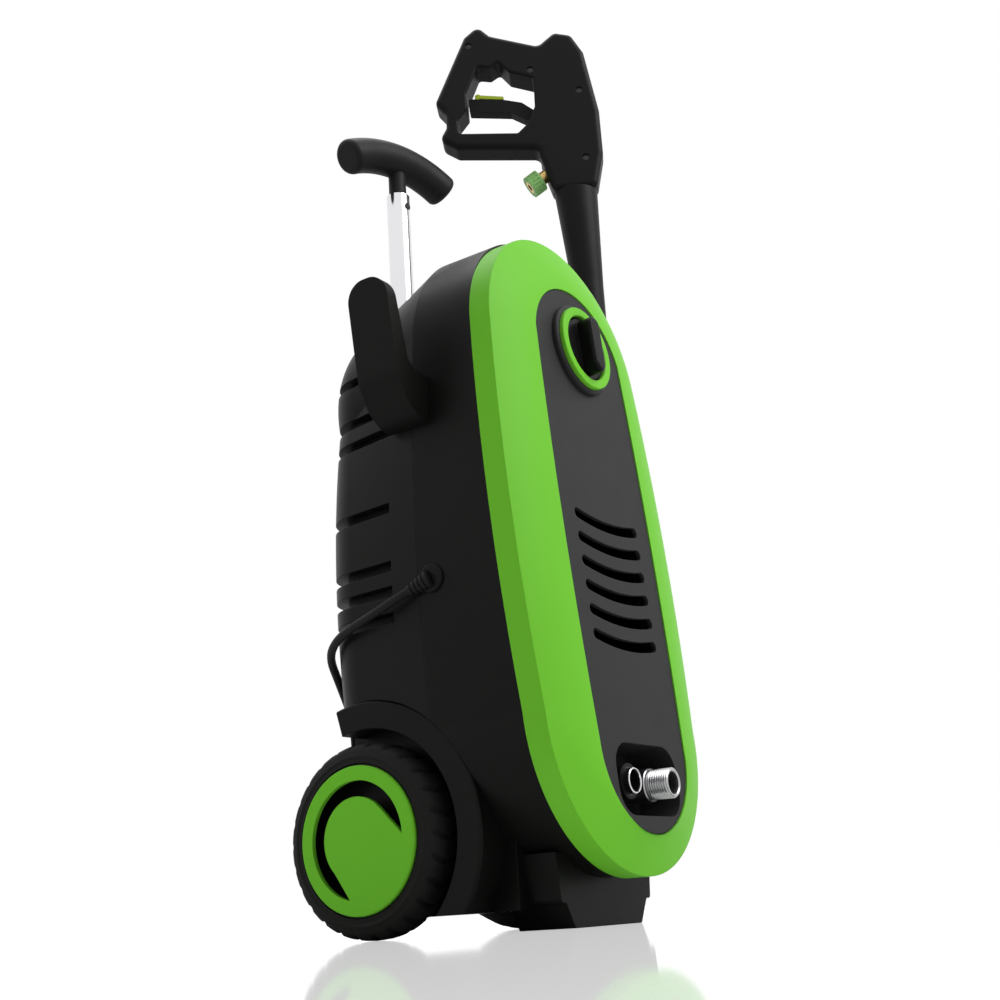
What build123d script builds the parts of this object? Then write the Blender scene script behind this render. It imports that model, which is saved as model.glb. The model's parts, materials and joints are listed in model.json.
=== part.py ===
from build123d import *
from math import cos, radians, sin, tan
import os

# Electric pressure washer standing on two wheels and a front foot, with its gun in a side holder.
# Millimetres. X is to the right seen from the front, Y to the rear, Z up.
# The origin is on the floor, under the middle of the machine.

# Front face: leans back, outline of four arcs
lean = 4.6
face_floor_y = -141.5
bezel_top = 654
bezel_bottom = 38
bezel_half_width = 138.5
bezel_shoulder = (129, 540)
bezel_hip = (130.5, 173)
bulge_z = 385
bezel_rise = 15
bezel_depth = 22
bezel_wall = 5
bezel_crown = 0.68
bezel_crown_place = 0.45
window_top = 598
window_bottom = 72
window_half_width = 80
window_shoulder = (75, 540)
window_hip = (75, 150)

# Body shells
shell = 3
body_inset = 2.5
body_extra_top = 3
seam_y = -8
rear_y = 121
rear_narrowing = 17
rear_top_drop = 60
rear_shoulder_drop = 90
rear_corner = 48
deck_z = 212
cheek_bottom_z = 166
deck_thickness = 5
groove_depth = 11
groove_front_y = 24
groove_heights = (519, 476, 452, 377, 322, 299, 275)
groove_gap = 10
groove_inner_x = 30
boss_radius = 9
boss_length = 26
boss_bite = 0.5
boss_heights = (400, 290)
screw_radius = 2
screw_head = 4

# Front panel
panel_gap = 0.8
panel_skin = 4
panel_sink = 1
panel_flange = 10
vent_count = 6
vent_top_z = 357
vent_pitch = 22.5
vent_half_length = 56
vent_sag = 5
vent_height = 10
pocket_z = 119
pocket_width = 106
pocket_height = 62
pocket_corner = 22
pocket_depth = 42
port_spread = 30.8
port_z = 116.8
port_hole = 15.5

# Rotary switch
dial_z = 532.7
collar_radius = 46
collar_height = 6
ring_radius = 42
ring_inner = 33
ring_height = 4.5
knob_radius = 31
knob_height = 7
knob_bar = (58, 18, 16)
stem_radius = 4
stem_clearance = 2
switch_size = (54, 46, 34)

# Water connections
inlet_thread_radius = 13.45
inlet_bore = 10
inlet_groove_count = 6
inlet_groove_pitch = 2.6
inlet_groove_width = 1.1
inlet_groove_depth = 1
outlet_thread_radius = 11
outlet_body_radius = 12.5
outlet_bore = 6
inlet_tip_y = -154
outlet_tip_y = -150

# Wheels and axle
wheel_radius = 84.5
wheel_y = 69.5
wheel_face_x = 138
tyre_width = 42
tyre_inner = 66
tread_count = 30
tread_depth = 3
rim_hub = 17
axle_radius = 6
axle_clearance = 0.05
axle_end_x = 127
clip_thickness = 3
cap_radius = 64
cap_crescent = 51
cap_drop = 37
cap_thickness = 4.5
cap_reach = 1.5
cap_angles = (25, 48)
cap_foot = (0.18, 0.98)
cap_lift = 0.03
arch_inner = 97
arch_outer = 122
arch_face_x = 124
arch_rear_angle = 74

# Underbody
base_bottom_z = 17
base_half_width = 88
base_wall = 4
skirt_front_y = -62
skirt_top_z = 128
sill_top_z = 80
foot_half_width = 80
foot_front_y = -95
foot_rear_y = -38
foot_round = 3
foot_top_z = 62
foot_step_z = 21
foot_taper = (24, 12, 5)

# Motor and pump, on one upright axis
motor_y = 12
motor_radius = 56
stator_bore = 33
air_gap = 1
stator_bottom_z = 258
stator_height = 92
shaft_radius = 7
pump_radius = 58
pump_bottom_z = 140
pump_top_z = 244
shield_thickness = 12
bearing_outer = 16
bearing_height = 11
piston_count = 3
piston_circle = 30
piston_radius = 7
piston_foot_radius = 10.5
swash_radius = 42
swash_tilt = 7
swash_z = 222
swash_top_z = 234
manifold_size = (116, 104, 46)
fan_radius = 50
fan_blades = 9
blade_angle = 20
fan_height = 18

# Pull-out handle
tube_y = 100
tube_radius = 12.7
tube_wall = 1.5
tube_bottom_z = 440
tube_top_z = 780
guide_wall = 3
guide_top_z = 620
slide_clearance = 0.3
grip_length = 136
grip_radius = 19
grip_top_z = 844
grip_droop = 18
grip_turn = 13
neck_radius = 9.5
neck_bottom_z = 742

# Side holders
hook_width = 46
hook_y = -4
hook_outer_x = 188.9
hook_top_z = 578
hook_corner = 20
hook_round = 36
hook_inner_round = 16
hook_inner = [(178, hook_top_z), (160, 502), (151, 494), (140, 492)]
hook_outer = [(146, 447), (165, 462), (176, 484), (hook_outer_x, hook_top_z)]

# Spray gun: s runs from the barrel axis towards the handle, z is height
gun_x = 161.25
gun_y = -39
gun_z = -5
gun_turn = 30
gun_half_thickness = 17
gun_wall = 4
gun_edge = 4
gun_round = 9
gun_soft_edge = 7
barrel_top_z = 806
barrel_top_radius = 24.5
barrel_top_shift = 4
barrel_mid_z = 690
barrel_mid_radius = 17.5
barrel_end_radius = 16.5
barrel_bottom_z = 464
socket_radius = 11.5
socket_bottom_z = 425
holder_ring = 24
holder_bore = 17.2
holder_ledge = 13
holder_top_z = 515
holder_height = 62
trigger_pivot = (34, 905)
trigger_half_thickness = 7
trigger_edge = 2
trigger_room = (20, 62)
trigger_rise = 8
lock_pivot = (109.5, 944.5)
lock_boss = 3.4
lock_half_thickness = 6
lock_edge = 1
pin_radius = 3
gun_boss = 5
valve_radius = 8.5
valve_top_z = 888
spigot_angle = -34
spigot_root = (13, 850)
spigot_radius = 7.5
spigot_bore = 4
spigot_length = 52
nut_radius = 13
nut_length = 15
nut_groove_count = 18
nut_groove = 0.8

# Mains lead
cord_radius = 4
cord_gland_y = -23
cord_gland_z = 301
gland_flange = 13
boot_length = 24
boot_radius = 9
lead_straight = 16
boot_direction = (-0.16, 0.92, -0.35)
lead_bend_share = 0.45
coil_centre = (216, 80)
coil_outer = 63.4
coil_pitch = 9.8
coil_layer = 9.2
coil_layers = 4
half_turns = 6
coil_clear = 1.6
tie_thickness = 1.1
tie_width = 14
plug_length = 40
plug_radius = 15
plug_inset = 12
pin_spread = 9.5
plug_pin_radius = 2.4
plug_pin_length = 19

# Gap between pieces that move on each other
running_gap = 0.3

slope = tan(radians(lean))
level = cos(radians(lean))
dial_y = face_floor_y + dial_z * slope - bezel_rise + panel_sink


def face_plane(back=0):
    return Plane(
        origin=(0, face_floor_y + back, 0),
        x_dir=(1, 0, 0),
        z_dir=(0, -cos(radians(lean)), sin(radians(lean))),
    )


def arc_outline(plane, half_width, top, bottom, shoulder, hip, inset=0, upright=False):
    squash = level if upright else 1
    side = (half_width - inset, bulge_z * squash)
    upper = (shoulder[0] - inset, shoulder[1] * squash)
    lower = (hip[0] - inset, hip[1] * squash)
    crown = (top - inset) * squash
    keel = (bottom + inset) * squash
    with BuildSketch(plane) as outline:
        with BuildLine():
            ThreePointArc((-upper[0], upper[1]), (0, crown), upper)
            ThreePointArc(upper, side, lower)
            ThreePointArc(lower, (0, keel), (-lower[0], lower[1]))
            ThreePointArc((-lower[0], lower[1]), (-side[0], side[1]), (-upper[0], upper[1]))
        make_face()
    return outline.sketch


def bezel_outline(back=0, inset=0):
    return arc_outline(
        face_plane(back), bezel_half_width, bezel_top, bezel_bottom, bezel_shoulder, bezel_hip, inset
    )


def window_outline(back=0, inset=0):
    return arc_outline(
        face_plane(back), window_half_width, window_top, window_bottom, window_shoulder, window_hip, inset
    )


def body_outline(back=0, inset=0):
    return arc_outline(
        face_plane(back),
        bezel_half_width,
        bezel_top + body_extra_top + body_inset,
        bezel_bottom,
        bezel_shoulder,
        bezel_hip,
        inset + body_inset,
    )


def upright_outline(y, inset, narrowing=0, drop=0, shoulder_drop=0):
    plane = Plane(origin=(0, y, 0), x_dir=(1, 0, 0), z_dir=(0, -1, 0))
    return arc_outline(
        plane,
        bezel_half_width,
        bezel_top + body_extra_top + body_inset + narrowing - drop,
        bezel_bottom,
        (bezel_shoulder[0], bezel_shoulder[1] - shoulder_drop),
        bezel_hip,
        inset + body_inset + narrowing,
        upright=True,
    )


def front_column(inset):
    with BuildPart() as column:
        extrude(body_outline(bezel_depth, inset), amount=2 * bezel_half_width, dir=(0, 1, 0))
    return column.part


def front_form(inset):
    with BuildPart() as form:
        add(front_column(inset))
        with Locations((0, seam_y, 0)):
            Box(
                4 * bezel_half_width,
                4 * bezel_half_width,
                3 * bezel_top,
                align=(Align.CENTER, Align.MIN, Align.CENTER),
                mode=Mode.SUBTRACT,
            )
    return form.part


def rear_form(inset, bottom=deck_z):
    front = upright_outline(seam_y, inset)
    back = upright_outline(rear_y - inset, inset, rear_narrowing, rear_top_drop, rear_shoulder_drop)
    with BuildPart() as form:
        loft(sections=[front.faces()[0], back.faces()[0]], ruled=True)
        fillet(form.faces().sort_by(Axis.Y)[-1].edges(), rear_corner - inset)
        with Locations((0, 0, bottom)):
            Box(
                4 * bezel_half_width,
                8 * rear_y,
                3 * bezel_top,
                align=(Align.CENTER, Align.CENTER, Align.MIN),
                mode=Mode.INTERSECT,
            )
    return form.part


# Green bezel: a sloping ring with a side wall behind its crease
crown_inset = bezel_crown_place * (bezel_half_width - window_half_width)
with BuildPart() as front_bezel:
    loft(
        sections=[
            bezel_outline(0).faces()[0],
            bezel_outline(-bezel_crown * bezel_rise, crown_inset).faces()[0],
            window_outline(-bezel_rise).faces()[0],
        ]
    )
    extrude(bezel_outline(0), amount=bezel_depth, dir=(0, 1, 0))
    extrude(
        bezel_outline(bezel_wall, bezel_wall),
        amount=2 * bezel_depth,
        dir=(0, 1, 0),
        mode=Mode.SUBTRACT,
    )
    extrude(
        window_outline(bezel_depth + bezel_rise),
        amount=-3 * (bezel_depth + bezel_rise),
        dir=(0, 1, 0),
        mode=Mode.SUBTRACT,
    )

# Black front panel: raised plate in the window, held by a flange behind the bezel
panel_front = panel_sink - bezel_rise
with BuildPart() as front_panel:
    extrude(window_outline(panel_front, panel_gap), amount=bezel_wall - panel_front, dir=(0, 1, 0))
    extrude(window_outline(bezel_wall, -panel_flange), amount=shell, dir=(0, 1, 0))
    extrude(
        window_outline(panel_front + panel_skin, panel_gap + shell),
        amount=2 * bezel_depth,
        dir=(0, 1, 0),
        mode=Mode.SUBTRACT,
    )
    with BuildSketch(face_plane(panel_front)):
        with Locations((0, pocket_z)):
            RectangleRounded(
                pocket_width + 2 * shell,
                pocket_height + 2 * shell,
                pocket_corner + shell,
            )
    extrude(amount=-pocket_depth - shell)
    with BuildSketch(face_plane(panel_front)):
        with Locations((0, pocket_z)):
            RectangleRounded(pocket_width, pocket_height, pocket_corner)
    extrude(amount=-pocket_depth, mode=Mode.SUBTRACT)
    with BuildSketch(face_plane(panel_front)):
        for row in range(vent_count):
            z = vent_top_z - row * vent_pitch
            reach = vent_half_length - vent_height / 2
            with BuildLine(mode=Mode.PRIVATE) as curve:
                ThreePointArc((-reach, z), (0, z - vent_sag), (reach, z))
            SlotArc(curve.edge(), vent_height)
        with Locations((0, dial_z)):
            Circle(stem_radius + stem_clearance)
    extrude(amount=-panel_skin, mode=Mode.SUBTRACT)
    with BuildSketch(Plane.XZ.offset(-rear_y)):
        with Locations((-port_spread, port_z), (port_spread, port_z)):
            Circle(port_hole)
    extrude(amount=2 * rear_y + pocket_depth, mode=Mode.SUBTRACT)

# Rotary switch: collar and green ring on the panel, knob and stem through it
dial_plane = Plane(
    origin=(0, dial_y, dial_z),
    x_dir=(1, 0, 0),
    z_dir=(0, -cos(radians(lean)), sin(radians(lean))),
)

with BuildPart() as dial_collar:
    with BuildSketch(dial_plane):
        Circle(collar_radius)
        Circle(ring_inner, mode=Mode.SUBTRACT)
    extrude(amount=collar_height)
    collar_rim = dial_collar.faces().sort_by(Axis.Y)[0].edges().sort_by(SortBy.LENGTH)[-1]
    fillet(collar_rim, collar_height / 2)

with BuildPart() as dial_ring:
    with BuildSketch(dial_plane.offset(collar_height)):
        Circle(ring_radius)
        Circle(ring_inner, mode=Mode.SUBTRACT)
    extrude(amount=ring_height)
    fillet(dial_ring.faces().sort_by(Axis.Y)[0].edges(), ring_height / 3)

with BuildPart() as dial_knob:
    with BuildSketch(dial_plane.offset(running_gap)):
        Circle(knob_radius)
    extrude(amount=knob_height)
    with BuildSketch(dial_plane.offset(running_gap + knob_height)):
        SlotOverall(knob_bar[0], knob_bar[1], rotation=90)
    extrude(amount=knob_bar[2])
    fillet(dial_knob.faces().sort_by(Axis.Y)[0].edges(), knob_bar[1] / 5)
    with BuildSketch(dial_plane.offset(running_gap)):
        Circle(stem_radius)
    extrude(amount=-panel_skin - 2 * shell)

with BuildPart() as switch_box:
    with BuildSketch(dial_plane.offset(-panel_skin)):
        RectangleRounded(switch_size[0], switch_size[1], shell)
    extrude(amount=-switch_size[2])
    with BuildSketch(dial_plane.offset(-panel_skin)):
        Circle(stem_radius + running_gap)
    extrude(amount=-3 * shell, mode=Mode.SUBTRACT)

# Front housing shell, with bosses for the housing screws
boss_x = bezel_half_width - body_inset - shell - boss_radius + boss_bite
boss_places = [(side * boss_x, z) for side in (-1, 1) for z in boss_heights]
wheel_axis = Axis((0, wheel_y, wheel_radius), (1, 0, 0))
side_plane = Plane(origin=(0, wheel_y, wheel_radius), x_dir=(0, -1, 0), z_dir=(-1, 0, 0))


def screw_bosses(form, reach):
    with BuildPart() as bosses:
        with BuildSketch(Plane.XZ.offset(-seam_y)):
            with Locations(*boss_places):
                Circle(boss_radius)
                Circle(screw_radius, mode=Mode.SUBTRACT)
        extrude(amount=reach)
        add(form, mode=Mode.INTERSECT)
    return bosses.part


def wheel_wells():
    with BuildPart() as wells:
        with BuildSketch(side_plane.offset(base_half_width)):
            Circle(arch_outer)
        extrude(amount=base_half_width)
        mirror(about=Plane.YZ)
    return wells.part


with BuildPart() as front_housing:
    add(front_form(0))
    add(front_form(shell), mode=Mode.SUBTRACT)
    add(screw_bosses(front_form(0), boss_length))
    add(wheel_wells(), mode=Mode.SUBTRACT)

# Rear housing shell, with grooves that wrap round its corners
def groove_slabs(margin):
    with BuildPart() as slabs:
        with Locations(*[(0, groove_front_y - margin, z) for z in groove_heights]):
            Box(
                4 * bezel_half_width,
                2 * rear_y,
                groove_gap + 2 * margin,
                align=(Align.CENTER, Align.MIN, Align.CENTER),
            )
        with Locations((0, 0, deck_z)):
            Box(
                2 * (groove_inner_x - margin),
                4 * rear_y,
                bezel_top,
                align=(Align.CENTER, Align.CENTER, Align.MIN),
                mode=Mode.SUBTRACT,
            )
    return slabs.part


def groove_band(outside, inside, margin):
    with BuildPart() as band:
        add(rear_form(outside))
        add(rear_form(inside), mode=Mode.SUBTRACT)
        add(groove_slabs(margin), mode=Mode.INTERSECT)
    return band.part


guide_radius = tube_radius + slide_clearance + guide_wall
with BuildPart() as rear_housing:
    add(rear_form(0, cheek_bottom_z))
    add(rear_form(shell, cheek_bottom_z), mode=Mode.SUBTRACT)
    add(wheel_wells(), mode=Mode.SUBTRACT)
    add(groove_band(shell, groove_depth + shell, shell))
    add(groove_band(0, groove_depth, 0), mode=Mode.SUBTRACT)
    add(screw_bosses(rear_form(0), -boss_length))
    with BuildSketch(Plane.XY.offset(deck_z)):
        with Locations((0, tube_y)):
            Circle(guide_radius + slide_clearance)
    extrude(amount=bezel_top, mode=Mode.SUBTRACT)

with BuildPart() as housing_screws:
    with BuildSketch(Plane.XZ.offset(-seam_y - boss_length)):
        with Locations(*boss_places):
            Circle(screw_head)
    extrude(amount=-shell)
    with BuildSketch(Plane.XZ.offset(-seam_y - boss_length)):
        with Locations(*boss_places):
            Circle(screw_radius)
    extrude(amount=2 * boss_length - shell)

# Underbody: deck under the rear housing, box between the wheels, skirt under the front
pedestal_z = pump_bottom_z - manifold_size[2]
manifold_y = motor_y - 5
base_rear_y = rear_y - 2 * shell

with BuildPart() as base_chassis:
    add(rear_form(shell, deck_z - deck_thickness))
    with Locations((0, 0, deck_z)):
        Box(
            4 * bezel_half_width,
            8 * rear_y,
            deck_z,
            align=(Align.CENTER, Align.CENTER, Align.MAX),
            mode=Mode.INTERSECT,
        )
    with BuildSketch(Plane.XY.offset(base_bottom_z)):
        with Locations((0, (seam_y + base_rear_y) / 2)):
            RectangleRounded(2 * base_half_width, base_rear_y - seam_y, base_wall)
    extrude(amount=deck_z - base_bottom_z)
    with BuildSketch(Plane.XY.offset(base_bottom_z + base_wall)):
        with Locations((0, (seam_y + base_rear_y) / 2 - base_wall)):
            Rectangle(2 * (base_half_width - base_wall), base_rear_y - seam_y)
    extrude(amount=deck_z - deck_thickness - base_bottom_z - base_wall, mode=Mode.SUBTRACT)
    with BuildSketch(Plane.XY.offset(base_bottom_z)):
        with Locations((0, (seam_y + skirt_front_y) / 2)):
            Rectangle(2 * base_half_width, seam_y - skirt_front_y)
    extrude(amount=skirt_top_z - base_bottom_z)
    with BuildSketch(Plane.XY.offset(base_bottom_z)):
        with Locations((0, seam_y)):
            Rectangle(2 * base_half_width, 2 * base_wall)
    extrude(amount=sill_top_z - base_bottom_z)
    add(front_form(0), mode=Mode.SUBTRACT)
    add(wheel_wells(), mode=Mode.SUBTRACT)
    with BuildSketch(Plane.XY.offset(base_bottom_z)):
        with Locations((0, manifold_y)):
            Rectangle(manifold_size[0] / 2, manifold_size[1] / 4)
    extrude(amount=pedestal_z - base_bottom_z)
    with BuildSketch(Plane.XY.offset(deck_z - deck_thickness)):
        with Locations((0, motor_y)):
            Circle(pump_radius + 2 * shell)
    extrude(amount=deck_thickness, mode=Mode.SUBTRACT)
    hub_inner_x = wheel_face_x - tyre_width
    with BuildSketch(side_plane.offset(-hub_inner_x + running_gap)):
        Circle(rim_hub)
    extrude(amount=2 * (hub_inner_x - running_gap))
    with BuildSketch(side_plane.offset(-base_half_width + base_wall)):
        Rectangle(4 * rim_hub, 4 * rim_hub)
    extrude(amount=2 * (base_half_width - base_wall), mode=Mode.SUBTRACT)
    with BuildSketch(side_plane.offset(-2 * base_half_width)):
        Circle(axle_radius + axle_clearance)
    extrude(amount=4 * base_half_width, mode=Mode.SUBTRACT)

# Wheel arch: a band over the front and top of the wheel, with a wall behind the wheel
far = 3 * arch_outer
arch_ray = radians(180 - arch_rear_angle)


def arch_sector(inner):
    with BuildSketch(side_plane.offset(base_half_width)) as sector:
        Circle(arch_outer)
        Circle(inner, mode=Mode.SUBTRACT)
        with BuildLine():
            Polyline(
                (0, 0),
                (far * cos(arch_ray), far * sin(arch_ray)),
                (-far, far / 2),
                (-far, -far),
                (far, -far),
                (far, base_bottom_z - wheel_radius),
                (0, base_bottom_z - wheel_radius),
                close=True,
            )
        make_face(mode=Mode.SUBTRACT)
    return sector.sketch


with BuildPart() as left_wheel_arch:
    extrude(arch_sector(arch_inner), amount=arch_face_x - base_half_width)
    arch_rim = left_wheel_arch.faces().sort_by(Axis.X)[0].edges().sort_by(SortBy.LENGTH)[-1]
    fillet(arch_rim, shell)
    extrude(arch_sector(rim_hub + shell), amount=shell)

with BuildPart() as right_wheel_arch:
    add(mirror(left_wheel_arch.part, about=Plane.YZ))

# Front foot: stepped block under the front housing
with BuildPart() as front_foot:
    with BuildSketch(Plane.XZ.offset(-skirt_front_y)) as foot_profile:
        with BuildLine():
            toe, sill, heel = [foot_half_width - taper for taper in foot_taper]
            sole = toe + (sill - toe) * base_bottom_z / foot_step_z
            Polyline(
                (-toe, 0),
                (toe, 0),
                (sill, foot_step_z),
                (heel, foot_step_z),
                (foot_half_width, foot_top_z),
                (-foot_half_width, foot_top_z),
                (-heel, foot_step_z),
                (-sill, foot_step_z),
                close=True,
            )
        make_face()
        fillet(foot_profile.vertices().sort_by(Axis.Y)[:-2], foot_round)
    extrude(amount=skirt_front_y - foot_front_y)
    with BuildSketch(Plane.XZ.offset(-foot_rear_y)) as tread_profile:
        with BuildLine():
            Polyline((-toe, 0), (toe, 0), (sole, base_bottom_z), (-sole, base_bottom_z), close=True)
        make_face()
        fillet(tread_profile.vertices().sort_by(Axis.Y)[:2], foot_round)
    extrude(amount=foot_rear_y - skirt_front_y)
    add(front_form(0), mode=Mode.SUBTRACT)

# Wheels: notched tyre, rim with hub, green cap with a crescent-shaped opening
wheel_section = Plane(origin=(0, wheel_y, wheel_radius), x_dir=(1, 0, 0), z_dir=(0, -1, 0))
tyre_shoulder = 9
rim_thickness = 5
rim_face_x = wheel_face_x - 2
hub_outer_x = axle_end_x - clip_thickness - running_gap

with BuildPart() as left_tyre:
    with BuildSketch(wheel_section):
        with Locations((-wheel_face_x + tyre_width / 2, (wheel_radius + tyre_inner) / 2)):
            tread = Rectangle(tyre_width, wheel_radius - tyre_inner)
        fillet(tread.vertices().group_by(Axis.Y)[-1], tyre_shoulder)
    revolve(axis=wheel_axis)
    with Locations(side_plane.offset(wheel_face_x - tyre_width / 2)):
        with PolarLocations(wheel_radius, tread_count):
            Box(2 * tread_depth, 2 * tread_depth, tyre_width + 2 * tread_depth, mode=Mode.SUBTRACT)

with BuildPart() as left_rim:
    with BuildSketch(wheel_section):
        with BuildLine():
            Polyline(
                (-hub_inner_x, axle_radius + axle_clearance),
                (-hub_inner_x, rim_hub),
                (-hub_inner_x - 3 * rim_thickness, rim_hub),
                (-hub_inner_x - 3 * rim_thickness, tyre_inner - rim_thickness),
                (-hub_inner_x, tyre_inner - rim_thickness),
                (-hub_inner_x, tyre_inner),
                (-rim_face_x, tyre_inner),
                (-rim_face_x, tyre_inner - rim_thickness),
                (-hub_inner_x - 4 * rim_thickness, tyre_inner - rim_thickness),
                (-hub_inner_x - 4 * rim_thickness, rim_hub),
                (-hub_outer_x, rim_hub),
                (-hub_outer_x, axle_radius + axle_clearance),
                close=True,
            )
        make_face()
    revolve(axis=wheel_axis)

with BuildPart() as left_hub_cap:
    with BuildSketch(side_plane.offset(rim_face_x)):
        Circle(cap_radius)
    extrude(amount=cap_thickness)
    fillet(left_hub_cap.faces().sort_by(Axis.X)[0].edges(), cap_thickness / 2.5)
    with BuildSketch(side_plane.offset(rim_face_x)):
        Circle(cap_crescent)
        Circle(cap_drop, mode=Mode.SUBTRACT)
        with BuildLine():
            reach = cap_crescent * cap_reach
            Polyline(
                (-cap_drop * cos(radians(cap_angles[0])), -cap_drop * sin(radians(cap_angles[0]))),
                (-cap_crescent * cap_foot[0], -cap_crescent * cap_foot[1]),
                (0, -reach),
                (reach, -reach),
                (reach, 0),
                (cap_crescent, cap_crescent * cap_lift),
                (cap_drop * cos(radians(cap_angles[1])), cap_drop * sin(radians(cap_angles[1]))),
                close=True,
            )
        make_face(mode=Mode.SUBTRACT)
    extrude(amount=cap_thickness, mode=Mode.SUBTRACT)

with BuildPart() as right_tyre:
    add(mirror(left_tyre.part, about=Plane.YZ))

with BuildPart() as right_rim:
    add(mirror(left_rim.part, about=Plane.YZ))

with BuildPart() as right_hub_cap:
    add(mirror(left_hub_cap.part, about=Plane.YZ))

with BuildPart() as axle:
    with BuildSketch(side_plane.offset(-axle_end_x)):
        Circle(axle_radius)
    extrude(amount=2 * axle_end_x)

with BuildPart() as axle_clips:
    with BuildSketch(side_plane.offset(axle_end_x)):
        Circle(2 * axle_radius)
        Circle(axle_radius, mode=Mode.SUBTRACT)
    extrude(amount=-clip_thickness)
    mirror(about=Plane.YZ)

# Pump: manifold on the pedestal, piston housing, swash plate on the motor shaft
pump_axis = Plane(origin=(0, motor_y, 0))
chamber_radius = pump_radius - 2 * base_wall
chamber_floor_z = pump_bottom_z + 58
piston_top_z = swash_z - swash_radius * tan(radians(swash_tilt)) - running_gap
manifold_front_y = manifold_y - manifold_size[1] / 2

with BuildPart() as pump_manifold:
    with BuildSketch(Plane.XY.offset(pedestal_z)):
        with Locations((0, manifold_y)):
            RectangleRounded(manifold_size[0], manifold_size[1], 2 * base_wall)
    extrude(amount=manifold_size[2])
    with BuildSketch(Plane.XZ.offset(-manifold_front_y)):
        with Locations((-port_spread, port_z), (port_spread, port_z)):
            Circle(outlet_bore)
    extrude(amount=-manifold_size[1] / 2, mode=Mode.SUBTRACT)

with BuildPart() as pump_housing:
    with BuildSketch(pump_axis.offset(pump_bottom_z)):
        Circle(pump_radius)
    extrude(amount=pump_top_z - pump_bottom_z)
    with BuildSketch(pump_axis.offset(chamber_floor_z)):
        Circle(chamber_radius)
    extrude(amount=pump_top_z - chamber_floor_z, mode=Mode.SUBTRACT)
    with BuildSketch(pump_axis.offset(pump_bottom_z)):
        with PolarLocations(piston_circle, piston_count):
            Circle(piston_radius + axle_clearance)
    extrude(amount=chamber_floor_z - pump_bottom_z, mode=Mode.SUBTRACT)

with BuildPart() as pump_pistons:
    with BuildSketch(pump_axis.offset(pump_bottom_z + 2 * shell)):
        with PolarLocations(piston_circle, piston_count):
            Circle(piston_radius)
    extrude(amount=piston_top_z - pump_bottom_z - 2 * shell)
    with BuildSketch(pump_axis.offset(piston_top_z)):
        with PolarLocations(piston_circle, piston_count):
            Circle(piston_foot_radius)
    extrude(amount=-shell)

with BuildPart() as unloader_valve:
    with BuildSketch(Plane.YZ.offset(manifold_size[0] / 2)):
        with Locations((manifold_y, port_z)):
            RegularPolygon(2 * axle_radius, 6)
    extrude(amount=2 * axle_radius)
    with BuildSketch(Plane.YZ.offset(manifold_size[0] / 2)):
        with Locations((manifold_y, port_z)):
            Circle(axle_radius)
    extrude(amount=3 * axle_radius + shell)

# Water connections through the front pocket
collar_back_y = face_floor_y + pocket_depth + 2 * bezel_depth
with BuildPart() as water_inlet:
    with BuildSketch(Plane.XZ.offset(-inlet_tip_y)):
        with Locations((port_spread, port_z)):
            Circle(inlet_thread_radius)
    extrude(amount=-bezel_depth)
    with BuildSketch(Plane.XZ.offset(-inlet_tip_y - bezel_depth)):
        with Locations((port_spread, port_z)):
            Circle(port_hole - slide_clearance)
    extrude(amount=inlet_tip_y + bezel_depth - manifold_front_y)
    for turn in range(inlet_groove_count):
        with BuildSketch(Plane.XZ.offset(-inlet_tip_y - shell - inlet_groove_pitch * turn)):
            with Locations((port_spread, port_z)):
                Circle(inlet_thread_radius + shell)
                Circle(inlet_thread_radius - inlet_groove_depth, mode=Mode.SUBTRACT)
        extrude(amount=-inlet_groove_width, mode=Mode.SUBTRACT)
    with BuildSketch(Plane.XZ.offset(-inlet_tip_y)):
        with Locations((port_spread, port_z)):
            Circle(inlet_bore)
    extrude(amount=-bezel_depth, mode=Mode.SUBTRACT)
    with BuildSketch(Plane.XZ.offset(-inlet_tip_y)):
        with Locations((port_spread, port_z)):
            Circle(outlet_bore)
    extrude(amount=inlet_tip_y - manifold_front_y, mode=Mode.SUBTRACT)

with BuildPart() as inlet_filter:
    with BuildSketch(Plane.XZ.offset(-inlet_tip_y - shell)):
        with Locations((port_spread, port_z)):
            Circle(inlet_bore)
            Circle(outlet_bore, mode=Mode.SUBTRACT)
    extrude(amount=-shell)
    with BuildSketch(Plane.XZ.offset(-inlet_tip_y - shell)):
        with Locations((port_spread, port_z)):
            Circle(outlet_bore + 1)
            Circle(outlet_bore, mode=Mode.SUBTRACT)
    extrude(amount=-bezel_depth + 2 * shell)

with BuildPart() as pressure_outlet:
    with BuildSketch(Plane.XZ.offset(-outlet_tip_y)):
        with Locations((-port_spread, port_z)):
            Circle(outlet_thread_radius)
            Circle(outlet_bore, mode=Mode.SUBTRACT)
    extrude(amount=-2 * shell)
    with BuildSketch(Plane.XZ.offset(-outlet_tip_y - 2 * shell)):
        with Locations((-port_spread, port_z)):
            Circle(outlet_body_radius)
            Circle(outlet_bore, mode=Mode.SUBTRACT)
    extrude(amount=outlet_tip_y + 2 * shell - manifold_front_y)

with BuildPart() as outlet_sleeve:
    with BuildSketch(Plane.XZ.offset(-outlet_tip_y - 2 * shell)):
        with Locations((-port_spread, port_z)):
            Circle(port_hole - slide_clearance)
            Circle(outlet_body_radius, mode=Mode.SUBTRACT)
    extrude(amount=outlet_tip_y + 2 * shell - collar_back_y)

# Motor: shields with bearings, stator, rotor on its shaft, fan and swash plate
stator_top_z = stator_bottom_z + stator_height
shaft_bottom_z = swash_z - 2 * shell
shaft_top_z = stator_top_z + shield_thickness + fan_height + 2 * shell
rotor_radius = stator_bore - air_gap


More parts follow.
